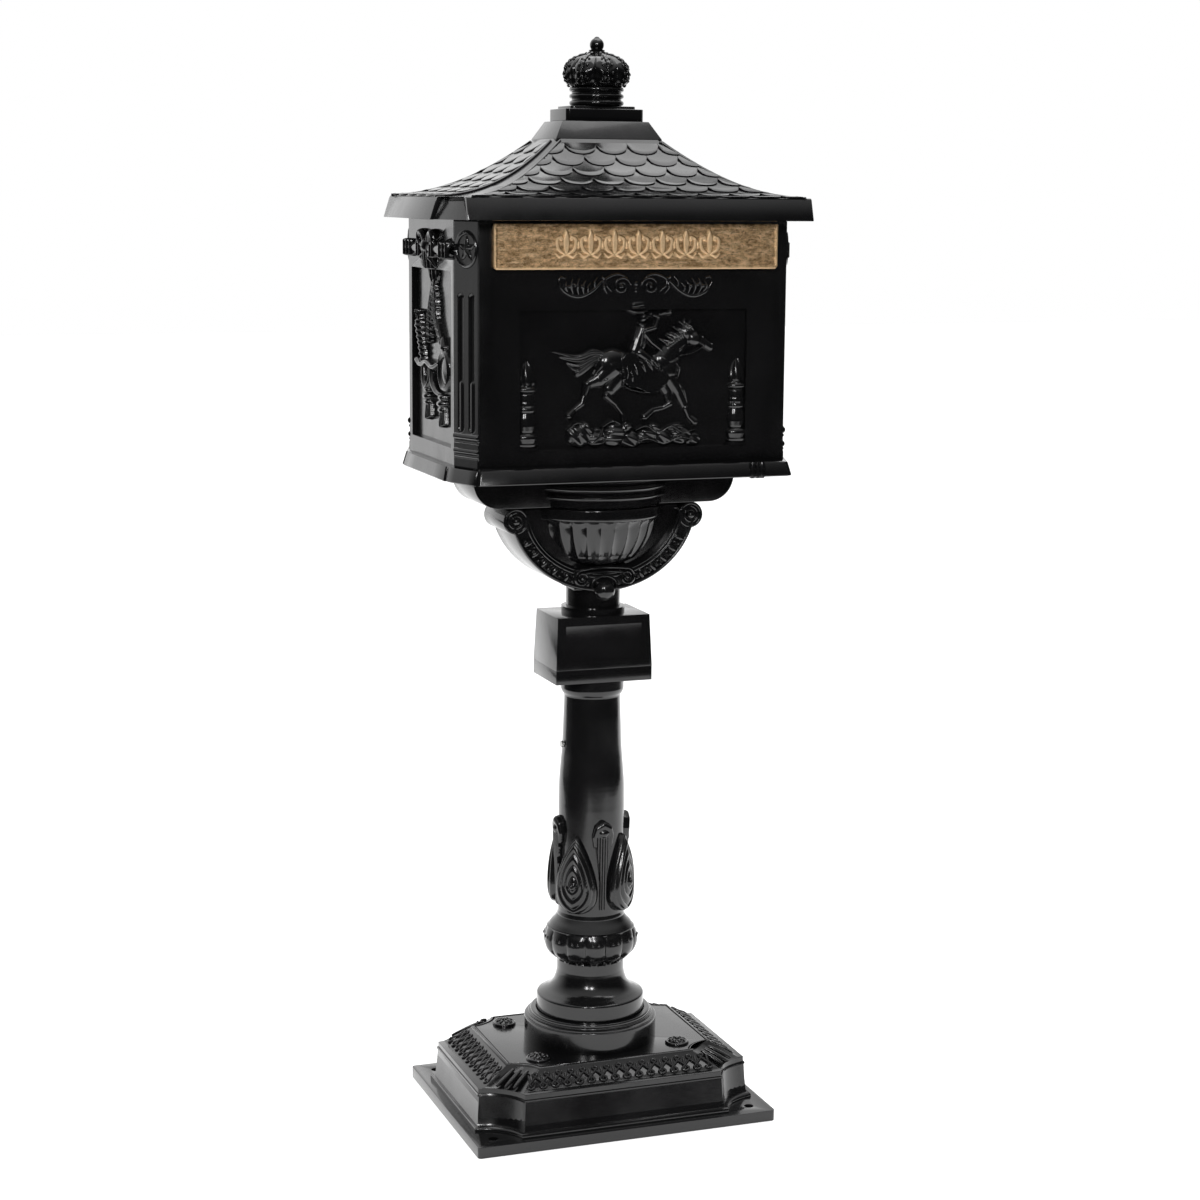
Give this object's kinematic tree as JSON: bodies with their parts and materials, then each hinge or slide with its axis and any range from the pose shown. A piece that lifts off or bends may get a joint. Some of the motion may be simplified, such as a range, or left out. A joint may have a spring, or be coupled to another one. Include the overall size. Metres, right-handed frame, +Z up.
{
  "type": "pedestal letter box",
  "caption": "Free-standing cast letter box: turned post on a bolted base, panelled box with hinged flap, lockable rear door and shingled roof.",
  "frame": {"origin": "centre of the base plate's underside, which is the centre of the whole object's box", "axes": "+Z up along the post, front with the letter flap towards -Y, +X to the right seen from the front"},
  "size_m": [0.4104, 0.2924, 1.15],
  "materials": {
    "black_paint": "gloss black powder coat on cast aluminium",
    "antique_brass": "antiqued brass, brushed high spots and dark patina in the hollows",
    "zinc_plated_steel": "zinc plated fasteners",
    "lock_metal": "bright plated cam lock"
  },
  "bodies": {
    "root": {"base_casting": "black_paint", "base_rosettes": "black_paint", "socket_ring": "black_paint", "post_foot": "black_paint", "post_knop": "black_paint", "post_shaft": "black_paint", "acanthus_collar": "black_paint", "shaft_set_screw": "zinc_plated_steel", "block_cap": "black_paint", "block_casting": "black_paint", "neck_collar": "black_paint", "scroll_bracket": "black_paint", "bracket_beam": "black_paint", "tie_rod": "zinc_plated_steel", "tie_rod_nuts": "zinc_plated_steel", "tie_rod_washers": "zinc_plated_steel", "bracket_bolts": "zinc_plated_steel", "bracket_nuts": "zinc_plated_steel", "floor_pan": "black_paint", "front_panel": "black_paint", "left_panel": "black_paint", "right_panel": "black_paint", "rear_frame": "black_paint", "front_left_pilaster": "black_paint", "front_right_pilaster": "black_paint", "rear_left_pilaster": "black_paint", "rear_right_pilaster": "black_paint", "panel_screws": "zinc_plated_steel", "floor_screws": "zinc_plated_steel", "roof_screws": "zinc_plated_steel", "roof_casting": "black_paint", "finial_plinth": "black_paint", "finial_neck": "black_paint", "finial_crown": "black_paint", "finial_stud": "zinc_plated_steel", "finial_nut": "zinc_plated_steel", "door_hinge_pins": "zinc_plated_steel"},
    "door": {"rear_door": "black_paint", "lock_housing": "lock_metal", "lock_nut": "lock_metal"},
    "lock": {"lock_plug": "lock_metal", "lock_cam": "lock_metal"},
    "flap": {"mail_flap": "antique_brass", "flap_pins": "zinc_plated_steel"}
  },
  "joints": [
    {"name": "flap_hinge", "type": "hinge", "parent": "root", "child": "flap", "pos_m": [0, -0.1236, 0.9575], "axis": [-1, 0, 0], "range_deg": [0, 75]},
    {"name": "door_hinge", "type": "hinge", "parent": "root", "child": "door", "pos_m": [-0.139, 0.1237, 0.834], "axis": [0, 0, 1], "range_deg": [0, 110]},
    {"name": "lock_turn", "type": "hinge", "parent": "door", "child": "lock", "pos_m": [0.119, 0.123, 0.834], "axis": [0, -1, 0], "range_deg": [0, 90]}
  ]
}
